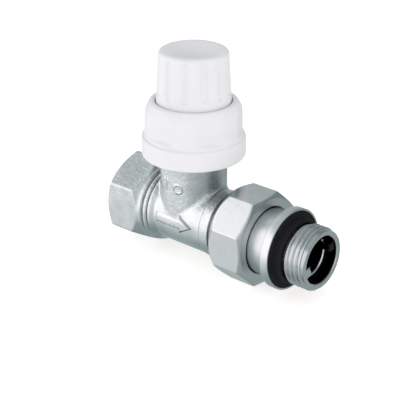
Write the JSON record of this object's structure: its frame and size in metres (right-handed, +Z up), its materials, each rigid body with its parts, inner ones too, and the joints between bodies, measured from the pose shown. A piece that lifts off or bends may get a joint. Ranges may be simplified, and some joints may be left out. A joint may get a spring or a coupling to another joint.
{
  "type": "thermostatic radiator valve",
  "caption": "Straight nickel-plated radiator valve with a hand-operated white protective cap, inlet socket, union nut and threaded tailpiece.",
  "frame": {"origin": "centre of the inlet socket's mouth, on the pipe axis", "axes": "+X along the pipe axis, the way the water flows to the radiator; +Z up along the spindle, towards the cap"},
  "size_m": [0.0817, 0.0346, 0.0735],
  "materials": {
    "forged_nickel": "nickel plating over forged brass, satin with a fine cast grain",
    "machined_nickel": "nickel plating over machined brass, bright with fine turning marks",
    "plain_brass": "machined, unplated",
    "stainless_steel": "ground and polished",
    "spring_steel": "drawn wire, bright",
    "black_rubber": "moulded EPDM, matte",
    "white_plastic": "moulded, fine satin",
    "grey_plastic": "moulded acetal"
  },
  "bodies": {
    "valve": {"valve_body": "forged_nickel", "bonnet": "machined_nickel", "bonnet_seal": "black_rubber", "gland_nut": "plain_brass", "gland_washer": "plain_brass", "stem_seal_lower": "black_rubber", "stem_seal_upper": "black_rubber", "spring_guide": "plain_brass", "return_spring": "spring_steel"},
    "spindle": {"stem": "stainless_steel", "stem_clip": "spring_steel", "spring_washer": "stainless_steel", "disc_holder": "plain_brass", "seat_washer": "black_rubber", "retaining_washer": "stainless_steel", "disc_nut": "plain_brass"},
    "cap_base": {"cap_ring": "white_plastic"},
    "pusher": {"thrust_button": "grey_plastic"},
    "knob": {"cap_knob": "white_plastic"},
    "tail": {"tailpiece": "machined_nickel", "tail_ring": "spring_steel", "tail_cone_seal": "black_rubber", "tail_gasket": "black_rubber"},
    "nut": {"union_nut": "machined_nickel"}
  },
  "joints": [
    {"name": "stem_slide", "type": "slide", "parent": "valve", "child": "spindle", "axis": [0, 0, 1], "range_m": [-0.003, 0], "deforming": ["return_spring"]},
    {"name": "cap_lift", "type": "slide", "parent": "valve", "child": "cap_base", "axis": [0, 0, 1], "range_m": [0, 0.009]},
    {"name": "pusher_slide", "type": "slide", "parent": "cap_base", "child": "pusher", "axis": [0, 0, 1], "range_m": [-0.003, 0]},
    {"name": "knob_turn", "type": "hinge", "parent": "pusher", "child": "knob", "pos_m": [0.028, 0, 0.05], "axis": [0, 0, 1], "range_deg": [-540, 0]},
    {"name": "tail_slide", "type": "slide", "parent": "valve", "child": "tail", "axis": [1, 0, 0], "range_m": [0, 0.0073]},
    {"name": "union_turn", "type": "hinge", "parent": "tail", "child": "nut", "pos_m": [0.0536, 0, 0], "axis": [1, 0, 0], "range_deg": [0, 1440]}
  ],
  "couplings": [
    {"joint": "pusher_slide", "follows": "knob_turn", "m_per_rad": 0.000318},
    {"joint": "stem_slide", "follows": "knob_turn", "m_per_rad": 0.000318},
    {"joint": "tail_slide", "follows": "union_turn", "m_per_rad": 0.00028871}
  ]
}
